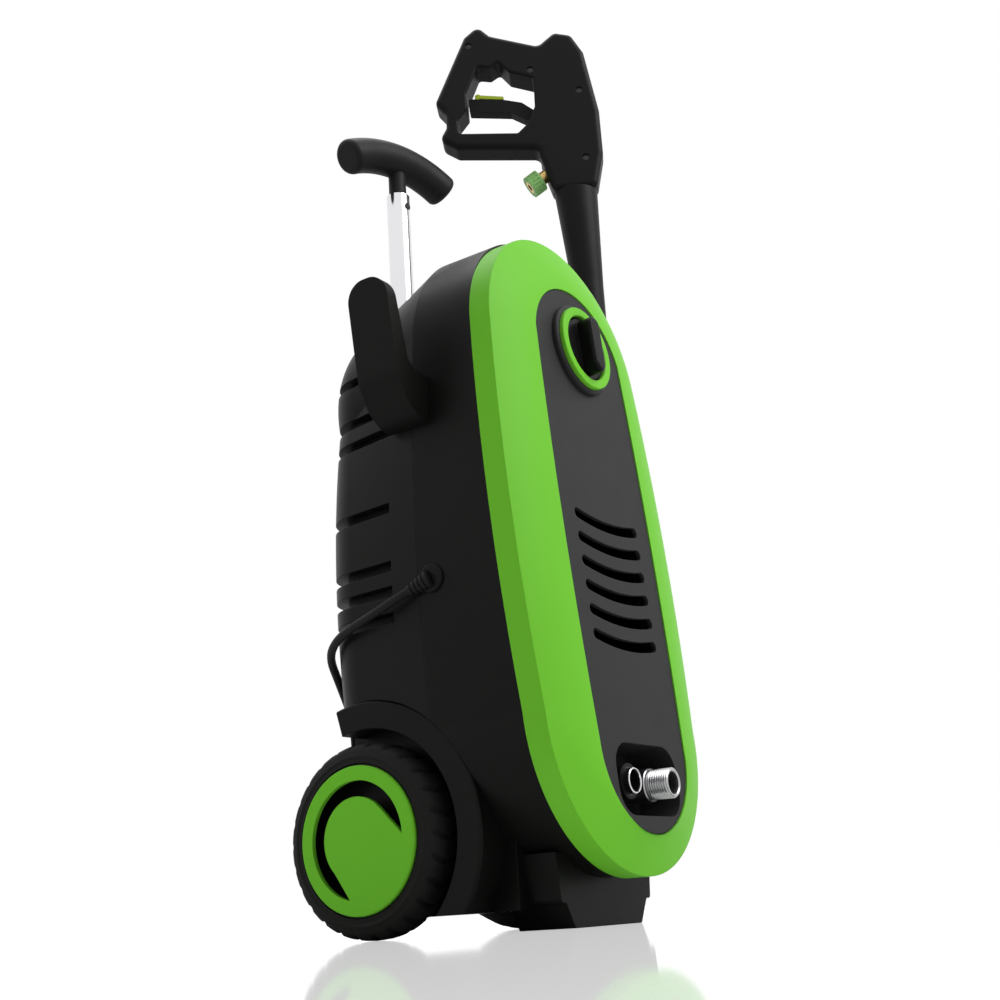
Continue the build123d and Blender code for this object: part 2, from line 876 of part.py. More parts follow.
def shield(bottom, top, seat_bottom):
    with BuildPart() as plate:
        with BuildSketch(pump_axis.offset(bottom)):
            Circle(pump_radius)
            Circle(shaft_radius + shell, mode=Mode.SUBTRACT)
        extrude(amount=top - bottom)
        with BuildSketch(pump_axis.offset(seat_bottom)):
            Circle(bearing_outer)
        extrude(amount=bearing_height, mode=Mode.SUBTRACT)
    return plate.part


with BuildPart() as pump_adapter:
    add(shield(pump_top_z, stator_bottom_z, stator_bottom_z - bearing_height))

with BuildPart() as upper_shield:
    add(shield(stator_top_z, stator_top_z + shield_thickness, stator_top_z))

with BuildPart() as motor_bearings:
    for z in (stator_bottom_z - bearing_height, stator_top_z):
        with BuildSketch(pump_axis.offset(z)):
            Circle(bearing_outer)
            Circle(shaft_radius + axle_clearance, mode=Mode.SUBTRACT)
        extrude(amount=bearing_height)

with BuildPart() as motor_stator:
    with BuildSketch(pump_axis.offset(stator_bottom_z)):
        Circle(motor_radius)
        Circle(stator_bore, mode=Mode.SUBTRACT)
    extrude(amount=stator_height)
    with BuildSketch(pump_axis.offset(stator_bottom_z + 4 * shell)):
        Circle(pump_radius)
        Circle(motor_radius, mode=Mode.SUBTRACT)
    extrude(amount=stator_height - 8 * shell)

with BuildPart() as motor_rotor:
    with BuildSketch(pump_axis.offset(shaft_bottom_z)):
        Circle(shaft_radius)
    extrude(amount=shaft_top_z - shaft_bottom_z)
    with BuildSketch(pump_axis.offset(stator_bottom_z + 3 * shell)):
        Circle(rotor_radius)
    extrude(amount=stator_height - 6 * shell)

with BuildPart() as cooling_fan:
    with BuildSketch(pump_axis.offset(stator_top_z + shield_thickness + shell)):
        Circle(2 * shaft_radius)
        with PolarLocations((shaft_radius + fan_radius) / 2, fan_blades, start_angle=blade_angle):
            Rectangle(fan_radius - shaft_radius, shell, rotation=blade_angle)
        Circle(shaft_radius, mode=Mode.SUBTRACT)
    extrude(amount=fan_height)

with BuildPart() as swash_plate:
    with BuildSketch(pump_axis.offset(swash_z - swash_radius / 2)):
        Circle(swash_radius)
        Circle(shaft_radius, mode=Mode.SUBTRACT)
    extrude(amount=swash_top_z - swash_z + swash_radius / 2)
    tilted = Plane(
        origin=(0, motor_y, swash_z),
        x_dir=(cos(radians(swash_tilt)), 0, sin(radians(swash_tilt))),
        z_dir=(-sin(radians(swash_tilt)), 0, cos(radians(swash_tilt))),
    )
    split(bisect_by=tilted, keep=Keep.TOP)

# Pull-out handle: guide in the housing, chrome tube, arched grip
tube_axis = Plane(origin=(0, tube_y, 0))
with BuildPart() as handle_guide:
    with BuildSketch(tube_axis.offset(deck_z)):
        Circle(guide_radius)
        Circle(tube_radius + slide_clearance, mode=Mode.SUBTRACT)
    extrude(amount=guide_top_z - deck_z)

screw_seat_z = tube_top_z - 5 * shell
with BuildPart() as handle_tube:
    with BuildSketch(tube_axis.offset(tube_bottom_z)):
        Circle(tube_radius)
        Circle(tube_radius - tube_wall, mode=Mode.SUBTRACT)
    extrude(amount=tube_top_z - tube_bottom_z)
    with BuildSketch(Plane.XZ.offset(-tube_y)):
        with Locations((0, screw_seat_z)):
            Circle(screw_radius)
    extrude(amount=2 * tube_radius, mode=Mode.SUBTRACT)

grip_plane = Plane(
    origin=(0, tube_y, grip_top_z - grip_radius),
    x_dir=(cos(radians(grip_turn)), -sin(radians(grip_turn)), 0),
    z_dir=(-sin(radians(grip_turn)), -cos(radians(grip_turn)), 0),
)
with BuildPart() as handle_grip:
    with BuildLine(grip_plane) as grip_line:
        ThreePointArc((-grip_length / 2, -grip_droop), (0, 0), (grip_length / 2, -grip_droop))
    with BuildSketch(Plane(origin=grip_line.line @ 0, z_dir=grip_line.line % 0)):
        Circle(grip_radius)
    sweep()
    fillet(handle_grip.edges().filter_by(GeomType.CIRCLE), grip_radius / 3)
    with BuildSketch(tube_axis.offset(tube_top_z)):
        Circle(neck_radius)
    extrude(amount=grip_top_z - grip_radius - tube_top_z)
    with BuildSketch(tube_axis.offset(neck_bottom_z)):
        Circle(tube_radius - tube_wall)
    extrude(amount=tube_top_z - neck_bottom_z)
    with BuildSketch(Plane.XZ.offset(-tube_y)):
        with Locations((0, screw_seat_z)):
            Circle(screw_radius)
    extrude(amount=2 * tube_radius, mode=Mode.SUBTRACT)

with BuildPart() as handle_screw:
    with BuildSketch(Plane.XZ.offset(-tube_y)):
        with Locations((0, screw_seat_z)):
            Circle(screw_radius)
    extrude(amount=tube_radius)
    with BuildSketch(Plane.XZ.offset(-tube_y + tube_radius - tube_wall / 2)):
        with Locations((0, screw_seat_z)):
            Circle(screw_head)
    extrude(amount=tube_wall)
    add(handle_tube.part, mode=Mode.SUBTRACT)

# Side holders: hook on the left, ring for the gun on the right
with BuildPart() as left_holder:
    with BuildSketch(Plane.XZ.offset(-hook_y - hook_width / 2)) as hook_profile:
        with BuildLine():
            root_x = -bezel_half_width + 4 * shell
            inner = [(-x, z) for x, z in reversed(hook_inner)]
            outer = [(-x, z) for x, z in reversed(hook_outer)]
            Polyline(
                (root_x, outer[-1][1] - shell),
                (root_x, inner[0][1]),
                *inner,
                *outer,
                close=True,
            )
        make_face()
        bends = [bend for bend in hook_profile.vertices() if bend.X < root_x - shell]
        floor_z = hook_inner[-1][1] - shell
        fillet([bend for bend in bends if bend.Y < floor_z], hook_round)
        fillet([bend for bend in bends if floor_z < bend.Y < hook_top_z - shell], hook_inner_round)
    extrude(amount=hook_width)
    top_edges = left_holder.faces().sort_by(Axis.Z)[-1].edges().filter_by(Axis.X)
    fillet(top_edges, hook_corner)
    add(front_column(0), mode=Mode.SUBTRACT)

holder_ledge_z = barrel_bottom_z - running_gap
holder_bottom_z = holder_top_z - holder_height
gun_base = Plane(origin=(gun_x, gun_y, gun_z))
with BuildPart() as right_holder:
    with BuildSketch(gun_base.offset(holder_bottom_z)):
        Circle(holder_ring)
        with Locations((-holder_ring - 2 * shell, 0)):
            Rectangle(2 * holder_ring, 1.5 * holder_ring)
    extrude(amount=holder_height)
    with BuildSketch(gun_base.offset(holder_ledge_z)):
        Circle(holder_bore)
    extrude(amount=holder_height, mode=Mode.SUBTRACT)
    with BuildSketch(gun_base.offset(holder_bottom_z)):
        Circle(holder_ledge)
    extrude(amount=holder_height, mode=Mode.SUBTRACT)
    add(front_form(0), mode=Mode.SUBTRACT)

# Spray gun, drawn in its own upright plane
gun_plane = Plane(
    origin=(gun_x, gun_y, gun_z),
    x_dir=(-sin(radians(gun_turn)), cos(radians(gun_turn)), 0),
    z_dir=(cos(radians(gun_turn)), sin(radians(gun_turn)), 0),
)
valve_base = Plane(origin=gun_plane.from_local_coords((barrel_top_shift, 0, 0)))
gun_outline = [
    (14, 1016),
    (-6, 1010),
    (-19, 985),
    (-31, 905),
    (-31, 850),
    (-21, barrel_top_z),
    (29, barrel_top_z),
    (41, 850),
    (41, 862),
    (137, 873),
    (157, 887),
    (148, 903),
    (148, 920),
    (160, 936),
    (121, 1022),
    (104, 1036),
    (90, 1021),
    (34, 1000),
]
finger_gap = [
    (107, 979),
    (93, 976),
    (82, 983),
    (70, 967),
    (42, 956),
    (43, 918),
    (52, 897),
    (65, 885),
    (133, 892),
    (134, 909),
    (122, 924),
    (122, 944),
]
gun_screw_places = [(-10, 933), (-11, 844), (45, 967), (116, 1008)]


def gun_profile(points, round_by, inset=0):
    with BuildSketch(gun_plane) as profile:
        with BuildLine():
            Polyline(*points, close=True)
        make_face()
        fillet(profile.vertices(), round_by)
        if inset:
            offset(amount=-inset)
    return profile.sketch


def gun_shell(side):
    with BuildPart() as half:
        extrude(gun_profile(gun_outline, gun_round), amount=side * gun_half_thickness)
        rim = half.faces().sort_by(Axis(gun_plane.origin, gun_plane.z_dir))[-1 if side > 0 else 0]
        fillet(rim.edges(), gun_soft_edge)
        extrude(
            gun_profile(finger_gap, gun_edge),
            amount=side * gun_half_thickness,
            mode=Mode.SUBTRACT,
        )
        rim = half.faces().sort_by(Axis(gun_plane.origin, gun_plane.z_dir))[-1 if side > 0 else 0]
        fillet(rim.inner_wires()[0].edges(), gun_edge - 1)
    with BuildPart() as pocket:
        extrude(
            gun_profile(gun_outline, gun_round, gun_wall),
            amount=side * (gun_half_thickness - gun_wall),
        )
        extrude(
            gun_profile(finger_gap, gun_edge, -gun_wall),
            amount=side * gun_half_thickness,
            mode=Mode.SUBTRACT,
        )
        with BuildSketch(gun_plane):
            with Locations(*gun_screw_places):
                Circle(gun_boss)
        extrude(amount=side * gun_half_thickness, mode=Mode.SUBTRACT)
    return half.part - pocket.part


# Room for the trigger, its pin, the hose spigot and the valve
spigot_plane = Plane(
    origin=gun_plane.from_local_coords((spigot_root[0], spigot_root[1], 0)),
    z_dir=gun_plane.from_local_coords(Vector(cos(radians(spigot_angle)), sin(radians(spigot_angle)), 0))
    - gun_plane.origin,
)


def gun_room():
    with BuildPart() as room:
        with BuildSketch(gun_plane):
            with Locations((trigger_pivot[0] + trigger_room[0] / 2, trigger_pivot[1] + trigger_rise)):
                Rectangle(*trigger_room)
        extrude(amount=trigger_half_thickness + 1, both=True)
        with BuildSketch(gun_plane):
            with Locations(trigger_pivot):
                Circle(pin_radius)
        extrude(amount=gun_half_thickness - gun_wall / 2, both=True)
        with BuildSketch(spigot_plane):
            Circle(spigot_radius)
        extrude(amount=spigot_length)
        with BuildSketch(valve_base.offset(barrel_top_z - gun_wall)):
            Circle(valve_radius + slide_clearance)
        extrude(amount=3 * gun_wall)
    return room.part


with BuildPart() as gun_left_shell:
    add(gun_shell(-1))
    add(gun_room(), mode=Mode.SUBTRACT)
    with BuildSketch(gun_plane.offset(-gun_half_thickness)):
        with Locations(*gun_screw_places):
            Circle(screw_head)
    extrude(amount=gun_wall, mode=Mode.SUBTRACT)
    with BuildSketch(gun_plane):
        with Locations(*gun_screw_places):
            Circle(screw_radius)
    extrude(amount=-gun_half_thickness, mode=Mode.SUBTRACT)

with BuildPart() as gun_right_shell:
    add(gun_shell(1))
    add(gun_room(), mode=Mode.SUBTRACT)
    with BuildSketch(gun_plane):
        with Locations(*gun_screw_places):
            Circle(screw_radius)
    extrude(amount=gun_half_thickness - gun_wall, mode=Mode.SUBTRACT)

with BuildPart() as gun_screws:
    with BuildSketch(gun_plane.offset(-gun_half_thickness + gun_wall)):
        with Locations(*gun_screw_places):
            Circle(screw_head)
    extrude(amount=-gun_wall / 2)
    with BuildSketch(gun_plane.offset(-gun_half_thickness + gun_wall)):
        with Locations(*gun_screw_places):
            Circle(screw_radius)
    extrude(amount=2 * gun_half_thickness - 2 * gun_wall - shell)

with BuildPart() as gun_barrel:
    with BuildSketch(valve_base.offset(barrel_top_z)):
        Circle(barrel_top_radius)
    with BuildSketch(gun_base.offset(barrel_mid_z)):
        Circle(barrel_mid_radius)
    loft()
    with BuildSketch(gun_base.offset(barrel_bottom_z)):
        Circle(barrel_end_radius)
    with BuildSketch(gun_base.offset(barrel_mid_z)):
        Circle(barrel_mid_radius)
    loft()
    with BuildSketch(gun_base.offset(barrel_bottom_z)):
        Circle(outlet_bore)
    extrude(amount=barrel_top_z - barrel_bottom_z, mode=Mode.SUBTRACT)

with BuildPart() as lance_socket:
    with BuildSketch(gun_base.offset(barrel_bottom_z)):
        Circle(socket_radius)
        Circle(outlet_bore, mode=Mode.SUBTRACT)
    extrude(amount=socket_bottom_z - barrel_bottom_z)

with BuildPart() as gun_valve:
    with BuildSketch(valve_base.offset(barrel_top_z)):
        Circle(valve_radius)
        Circle(outlet_bore - shell / 2, mode=Mode.SUBTRACT)
    extrude(amount=valve_top_z - barrel_top_z)

with BuildPart() as hose_spigot:
    with BuildSketch(spigot_plane):
        Circle(spigot_radius)
        Circle(spigot_bore, mode=Mode.SUBTRACT)
    extrude(amount=spigot_length)
    add(gun_valve.part, mode=Mode.SUBTRACT)

with BuildPart() as hose_nut:
    with BuildSketch(spigot_plane.offset(spigot_length - nut_length)):
        Circle(nut_radius)
        Circle(spigot_radius + axle_clearance, mode=Mode.SUBTRACT)
    extrude(amount=nut_length)
    with Locations(spigot_plane.offset(spigot_length - nut_length / 2)):
        with PolarLocations(nut_radius, nut_groove_count):
            Cylinder(nut_groove, nut_length - 2 * shell, mode=Mode.SUBTRACT)

trigger_outline = [
    (trigger_pivot[0] - 6, trigger_pivot[1] - 6),
    (trigger_pivot[0] + 6, trigger_pivot[1] - 6),
    (56, 908),
    (71, 918),
    (120, 925),
    (120, 942),
    (78, 936),
    (58, 930),
    (44, 918),
    (trigger_pivot[0] - 6, trigger_pivot[1] + 7),
]
with BuildPart() as trigger:
    extrude(gun_profile(trigger_outline, trigger_edge), amount=trigger_half_thickness, both=True)
    with BuildSketch(gun_plane):
        with Locations(trigger_pivot):
            Circle(pin_radius + axle_clearance)
    extrude(amount=trigger_half_thickness, both=True, mode=Mode.SUBTRACT)

with BuildPart() as trigger_pin:
    with BuildSketch(gun_plane):
        with Locations(trigger_pivot):
            Circle(pin_radius)
    extrude(amount=gun_half_thickness - gun_wall / 2, both=True)

lock_outline = [(109.5, 942.3), (109.5, 946.8), (79, 941.3), (79, 937.5)]
with BuildPart() as trigger_lock:
    extrude(gun_profile(lock_outline, lock_edge), amount=lock_half_thickness, both=True)
    with BuildSketch(gun_plane):
        with Locations(lock_pivot):
            Circle(lock_boss)
    extrude(amount=lock_half_thickness, both=True)

# Mains lead: gland with a boot, free stretch to the floor, tied coil and plug
boot_axis = Vector(*boot_direction).normalized()
gland_centre = Vector(-bezel_half_width + shell / 2, cord_gland_y, cord_gland_z)
boot_tip = gland_centre + boot_axis * boot_length
coil_z = cord_radius + coil_clear
coil_start = Vector(coil_centre[0], coil_centre[1] + coil_outer, coil_z)
lead_points = [
    boot_tip,
    boot_tip + boot_axis * lead_straight,
    Vector(-141, 40, 279),
    Vector(-137.5, 66, 273),
    Vector(-129.5, 95, 266),
    Vector(-111, 121, 256),
    Vector(-84, 134, 238),
    Vector(-58, 142, 210),
    Vector(-33, 149, 175),
    Vector(-8, 155, 142),
    Vector(20, 161, 114),
    Vector(50, 165, 90),
    Vector(80, 168, 69),
    Vector(107, 166, 49),
    Vector(131, 158, 32),
    Vector(154, 150, 18),
    Vector(176, 145, 8.5),
    Vector(194, coil_start.Y, coil_z),
    coil_start - Vector(2 * cord_radius, 0, 0),
]


def corner_radii(points):
    radii = []
    for before, corner, after in zip(points, points[1:], points[2:]):
        arriving = corner - before
        leaving = after - corner
        half_turn = radians(arriving.get_angle(leaving)) / 2
        radii.append(lead_bend_share * min(arriving.length, leaving.length) / tan(half_turn))
    return radii


with BuildPart() as cord_gland:
    with BuildSketch(Plane.YZ.offset(-bezel_half_width + 3 * shell)):
        with Locations((cord_gland_y, cord_gland_z)):
            Circle(gland_flange)
    extrude(amount=-3 * shell)
    with BuildSketch(Plane(origin=gland_centre, z_dir=boot_axis)):
        Circle(boot_radius)
    with BuildSketch(Plane(origin=boot_tip, z_dir=boot_axis)):
        Circle(cord_radius + 1)
    loft()
    add(front_form(0), mode=Mode.SUBTRACT)
    add(rear_form(0), mode=Mode.SUBTRACT)

lead_radii = corner_radii(lead_points)
with BuildPart() as power_cord:
    with BuildLine() as lead:
        FilletPolyline(*lead_points, radius=lead_radii)
    with BuildSketch(Plane(origin=lead.line @ 0, z_dir=lead.line % 0)):
        Circle(cord_radius)
    sweep()
lead_length = sum(edge.length for edge in lead.edges())

# Coil: layers spiral in and out by half turns, and climb a layer where the spiral reverses
coil_stops = [(coil_outer, coil_z)]
for layer in range(coil_layers):
    step = coil_pitch / 2 * (1 if layer % 2 else -1)
    for turn in range(half_turns):
        coil_stops.append((coil_stops[-1][0] + step, coil_stops[-1][1]))
    coil_stops.append((coil_stops[-1][0], coil_stops[-1][1] + coil_layer))
coil_top_z = coil_stops[-2][1] + cord_radius
plug_z = coil_top_z + plug_radius + running_gap
coil_stops.append((coil_outer - plug_inset, plug_z))


def coil_point(index):
    radius, height = coil_stops[index]
    side = 1 if index % 2 == 0 else -1
    return Vector(coil_centre[0], coil_centre[1] + side * radius, height)


coil_arcs = []
with BuildPart() as cord_coil:
    with BuildLine():
        Line(lead_points[-1], coil_start)
        for index in range(len(coil_stops) - 1):
            start = coil_point(index)
            finish = coil_point(index + 1)
            heading = Vector(1 if index % 2 == 0 else -1, 0, 0)
            chord = finish - start
            middle = (start + finish) / 2 + heading * (chord.length / 2)
            coil_arcs.append(TangentArc(start, middle, tangent=heading))
            coil_arcs.append(TangentArc(middle, finish, tangent=chord))
        coil_end = coil_point(len(coil_stops) - 1)
        end_heading = Vector(1 if len(coil_stops) % 2 else -1, 0, 0)
        Line(coil_end, coil_end + end_heading * 2 * cord_radius)
    with BuildSketch(Plane(origin=lead_points[-1], z_dir=(1, 0, 0))):
        Circle(cord_radius)
    sweep()

coil_length = sum(arc.length for arc in coil_arcs) + 4 * cord_radius
samples = 12
coil_path = [arc @ (index / samples) for arc in coil_arcs for index in range(samples)]
coil_gap = min(
    (near - far_point).length
    for index, near in enumerate(coil_path)
    for far_point in coil_path[index + 3 * samples :]
) - 2 * cord_radius
print(f"lead radii {min(lead_radii):.0f} to {max(lead_radii):.0f} mm, length {lead_length:.0f} mm")
print(f"coil length {coil_length:.0f} mm, least gap between turns {coil_gap:.2f} mm")

coil_inner = min(stop[0] for stop in coil_stops) - cord_radius
tie_inner = (coil_inner**2 - tie_width**2 / 4) ** 0.5 - slide_clearance
tie_outer = coil_outer + cord_radius + slide_clearance
tie_low = coil_z - cord_radius - slide_clearance
tie_high = coil_top_z + 2 * slide_clearance
with BuildPart() as cord_tie:
    with BuildSketch(Plane.YZ.offset(coil_centre[0] - tie_width / 2)):
        with Locations((coil_centre[1] - (tie_inner + tie_outer) / 2, (tie_low + tie_high) / 2)):
            Rectangle(tie_outer - tie_inner + 2 * tie_thickness, tie_high - tie_low + 2 * tie_thickness)
            Rectangle(tie_outer - tie_inner, tie_high - tie_low, mode=Mode.SUBTRACT)
    extrude(amount=tie_width)

plug_root = coil_end + end_heading * 2 * cord_radius
plug_plane = Plane(origin=plug_root, x_dir=(0, 1, 0), z_dir=end_heading)
with BuildPart() as cord_plug:
    with BuildSketch(plug_plane):
        Circle(2 * cord_radius)
    with BuildSketch(plug_plane.offset(plug_length)):
        Circle(plug_radius)
    loft()
    with BuildSketch(plug_plane.offset(plug_length)):
        with Locations((-pin_spread, 0), (pin_spread, 0)):
            Circle(plug_pin_radius)
    extrude(amount=plug_pin_length)

pieces = {
    "front_bezel": front_bezel,
    "front_panel": front_panel,
    "dial_collar": dial_collar,
    "dial_ring": dial_ring,
    "dial_knob": dial_knob,
    "switch_box": switch_box,
    "front_housing": front_housing,
    "rear_housing": rear_housing,
    "housing_screws": housing_screws,
    "base_chassis": base_chassis,
    "left_wheel_arch": left_wheel_arch,
    "right_wheel_arch": right_wheel_arch,
    "front_foot": front_foot,
    "left_tyre": left_tyre,
    "left_rim": left_rim,
    "left_hub_cap": left_hub_cap,
    "right_tyre": right_tyre,
    "right_rim": right_rim,
    "right_hub_cap": right_hub_cap,
    "axle": axle,
    "axle_clips": axle_clips,
    "pump_manifold": pump_manifold,
    "pump_housing": pump_housing,
    "pump_pistons": pump_pistons,
    "unloader_valve": unloader_valve,
    "water_inlet": water_inlet,
    "inlet_filter": inlet_filter,
    "pressure_outlet": pressure_outlet,
    "outlet_sleeve": outlet_sleeve,
    "pump_adapter": pump_adapter,
    "upper_shield": upper_shield,
    "motor_bearings": motor_bearings,
    "motor_stator": motor_stator,
    "motor_rotor": motor_rotor,
    "cooling_fan": cooling_fan,
    "swash_plate": swash_plate,
    "handle_guide": handle_guide,
    "handle_tube": handle_tube,
    "handle_grip": handle_grip,
    "handle_screw": handle_screw,
    "left_holder": left_holder,
    "right_holder": right_holder,
    "gun_left_shell": gun_left_shell,
    "gun_right_shell": gun_right_shell,
    "gun_screws": gun_screws,
    "gun_barrel": gun_barrel,
    "lance_socket": lance_socket,
    "gun_valve": gun_valve,
    "hose_spigot": hose_spigot,
    "hose_nut": hose_nut,
    "trigger": trigger,
    "trigger_pin": trigger_pin,
    "trigger_lock": trigger_lock,
    "cord_gland": cord_gland,
    "power_cord": power_cord,
    "cord_coil": cord_coil,
    "cord_tie": cord_tie,
    "cord_plug": cord_plug,
}
os.makedirs("parts", exist_ok=True)
for name, piece in pieces.items():
    piece.part.label = name
    export_step(piece.part, f"parts/{name}.step")
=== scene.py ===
import json
import math
import bpy
from mathutils import Matrix, Vector


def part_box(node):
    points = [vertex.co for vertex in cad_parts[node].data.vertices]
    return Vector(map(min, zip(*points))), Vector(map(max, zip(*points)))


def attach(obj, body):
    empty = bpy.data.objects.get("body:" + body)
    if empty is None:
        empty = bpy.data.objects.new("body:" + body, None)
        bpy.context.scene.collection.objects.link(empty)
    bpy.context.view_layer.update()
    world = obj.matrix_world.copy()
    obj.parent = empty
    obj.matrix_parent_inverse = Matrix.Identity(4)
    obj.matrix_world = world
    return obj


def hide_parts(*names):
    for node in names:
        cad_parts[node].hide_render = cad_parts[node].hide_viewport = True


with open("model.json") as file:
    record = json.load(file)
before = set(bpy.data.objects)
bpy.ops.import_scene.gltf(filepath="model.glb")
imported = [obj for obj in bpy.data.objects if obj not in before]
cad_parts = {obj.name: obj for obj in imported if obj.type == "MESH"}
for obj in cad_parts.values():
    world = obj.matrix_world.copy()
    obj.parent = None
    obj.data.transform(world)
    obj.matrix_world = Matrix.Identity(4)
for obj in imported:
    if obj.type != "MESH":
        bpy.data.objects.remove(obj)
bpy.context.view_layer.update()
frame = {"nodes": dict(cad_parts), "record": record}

nodes = frame["nodes"]
print("frame loaded with", len(nodes), "nodes")

# camera at the photograph's view, close to the floor and looking up
viewpoint = {
    "place": (-1.06773, -0.72947, 0.015),
    "heading": 56.0026,  # degrees from +Y towards +X
    "pitch": 16.8491,
    "roll": 3.7959,
    "focalPixels": 1365.71,
    "framePixels": 1000,
    "sensor": 36.0,
    "nearest": 0.01,
}


def placeCamera(look):
    heading, pitch, roll = (math.radians(look[key]) for key in ("heading", "pitch", "roll"))
    ahead = Vector(
        (
            math.sin(heading) * math.cos(pitch),
            math.cos(heading) * math.cos(pitch),
            math.sin(pitch),
        )
    )
    level = Vector((math.cos(heading), -math.sin(heading), 0))
    upright = level.cross(ahead)
    right = math.cos(roll) * level - math.sin(roll) * upright
    up = math.sin(roll) * level + math.cos(roll) * upright
    data = bpy.data.cameras.new("photoCamera")
    data.sensor_width = look["sensor"]
    data.lens = look["focalPixels"] / look["framePixels"] * look["sensor"]
    data.clip_start = look["nearest"]
    camera = bpy.data.objects.new("photoCamera", data)
    bpy.context.scene.collection.objects.link(camera)
    turn = Matrix((right, up, -ahead)).transposed()
    camera.matrix_world = Matrix.Translation(look["place"]) @ turn.to_4x4()
    bpy.context.scene.camera = camera


placeCamera(viewpoint)
bpy.context.scene.view_settings.view_transform = "Standard"
print("camera placed")


class Wire:  # one output socket, usable in sums with numbers and other wires
    def __init__(self, finish, socket):
        self.finish = finish
        self.socket = socket

    def sum(self, operation, other, swapped=False):
        first, second = (other, self) if swapped else (self, other)
        return self.finish.node("Math", {"operation": operation}, {0: first, 1: second})

    def __add__(self, other):
        return self.sum("ADD", other)

    def __radd__(self, other):
        return self.sum("ADD", other, True)

    def __sub__(self, other):
        return self.sum("SUBTRACT", other)

    def __rsub__(self, other):
        return self.sum("SUBTRACT", other, True)

    def __mul__(self, other):
        return self.sum("MULTIPLY", other)

    def __rmul__(self, other):
        return self.sum("MULTIPLY", other, True)

    def __pow__(self, other):
        return self.sum("POWER", other)

    def either(self, other):
        return self.sum("MAXIMUM", other)


class Finish:  # the nodes of a material or of the world
    def __init__(self, name, store=bpy.data.materials):
        self.made = store.new(name)
        self.made.use_nodes = True
        self.tree = self.made.node_tree
        self.tree.nodes.clear()

    def node(self, kind, settings=None, sockets=None, out=0):
        made = self.tree.nodes.new("ShaderNode" + kind)
        for key, value in (settings or {}).items():
            setattr(made, key, value)
        for key, value in (sockets or {}).items():
            if isinstance(value, Wire):
                self.tree.links.new(value.socket, made.inputs[key])
            else:
                made.inputs[key].default_value = value
        return Wire(self, made.outputs[out]) if len(made.outputs) else None

    def place(self):
        return self.node("TexCoord", out="Object")

    def noise(self, scale, detail, rough=0.5, vector=None):
        sockets = {"Scale": scale, "Detail": detail, "Roughness": rough}
        sockets["Vector"] = vector or self.place()
        return self.node("TexNoise", None, sockets)

    def blend(self, factor, first, second):
        colours = {0: factor, 6: (*first, 1), 7: (*second, 1)}
        return self.node("Mix", {"data_type": "RGBA"}, colours, 2)

    def bump(self, height, depth, strength, edge=0.0, samples=4):
        sockets = {"Height": height, "Distance": depth, "Strength": strength}
        if edge:
            sockets["Normal"] = self.node("Bevel", {"samples": samples}, {"Radius": edge})
        return self.node("Bump", None, sockets)

    def surface(self, sockets):
        shader = self.node("BsdfPrincipled", None, sockets)
        self.node("OutputMaterial", None, {"Surface": shader})
        return self.made


def tinted(colour, share):
    return tuple(min(1.0, channel * share) for channel in colour)


# moulded plastics: fine spark grain, slow colour drift, handling marks in the gloss
def mouldedPlastic(name, look):
    finish = Finish(name)
    drift = finish.noise(look["driftScale"], look["driftDetail"])
    grain = finish.noise(look["grainScale"], look["grainDetail"], look["grainRough"])
    rubs = finish.noise(look["rubScale"], look["rubDetail"], look["rubRough"])
    darker = tinted(look["colour"], 1 - look["drift"])
    lighter = tinted(look["colour"], 1 + look["drift"])
    marks = (rubs - look["middle"]) * look["rub"] + (grain - look["middle"]) * look["sparkle"]
    sockets = {
        "Base Color": finish.blend(drift, darker, lighter),
        "Roughness": marks + look["rough"],
        "Normal": finish.bump(grain, look["grainDepth"], look["grainStrength"], look["edge"]),
        "IOR": look["ior"],
        "Specular IOR Level": look["mirror"],
    }
    return finish.surface(sockets)


plasticLook = {
    "middle": 0.5,  # mean of the noise
    "driftScale": 9.0,
    "driftDetail": 3.0,
    "drift": 0.06,
    "grainScale": 950.0,
    "grainDetail": 2.0,
    "grainRough": 0.65,
    "grainDepth": 0.00025,
    "grainStrength": 0.22,
    "rubScale": 26.0,
    "rubDetail": 4.0,
    "rubRough": 0.7,
    "rub": 0.12,
    "sparkle": 0.08,
    "rough": 0.42,
    "ior": 1.46,
    "mirror": 0.14,
    "edge": 0.0012,  # moulded edges are never sharp
}
greenLook = {
    **plasticLook,
    "colour": (0.172, 0.59, 0.032),
    "rough": 0.46,
    "drift": 0.03,
    "grainStrength": 0.1,
}
panelLook = {**plasticLook, "colour": (0.026, 0.0255, 0.027), "rough": 0.5}
shellLook = {
    **plasticLook,
    "colour": (0.0062, 0.0062, 0.0058),
    "rough": 0.4,
    "drift": 0.15,
    "mirror": 0.11,
}
gunLook = {
    **plasticLook,
    "colour": (0.009, 0.009, 0.009),
    "rough": 0.45,
    "drift": 0.12,
    "mirror": 0.11,
}
knobLook = {**plasticLook, "colour": (0.005, 0.005, 0.005), "rough": 0.32, "mirror": 0.1}
nutLook = {**greenLook, "colour": (0.3, 0.6, 0.2)}
lockLook = {**plasticLook, "colour": (0.42, 0.55, 0.05), "rough": 0.4}
filterLook = {**plasticLook, "colour": (0.03, 0.03, 0.031), "rough": 0.5}


# rubbers: dull, with a powdery bloom that gathers in patches
def softRubber(name, look):
    finish = Finish(name)
    bloom = finish.noise(look["bloomScale"], look["bloomDetail"], look["bloomRough"])
    pores = finish.noise(look["poreScale"], look["poreDetail"])
    sockets = {
        "Base Color": finish.blend(bloom ** look["bloomPower"], look["colour"], look["bloomColour"]),
        "Roughness": bloom * look["bloomDull"] + look["rough"],
        "Normal": finish.bump(pores, look["poreDepth"], look["poreStrength"]),
        "IOR": look["ior"],
        "Specular IOR Level": look["mirror"],
    }
    return finish.surface(sockets)


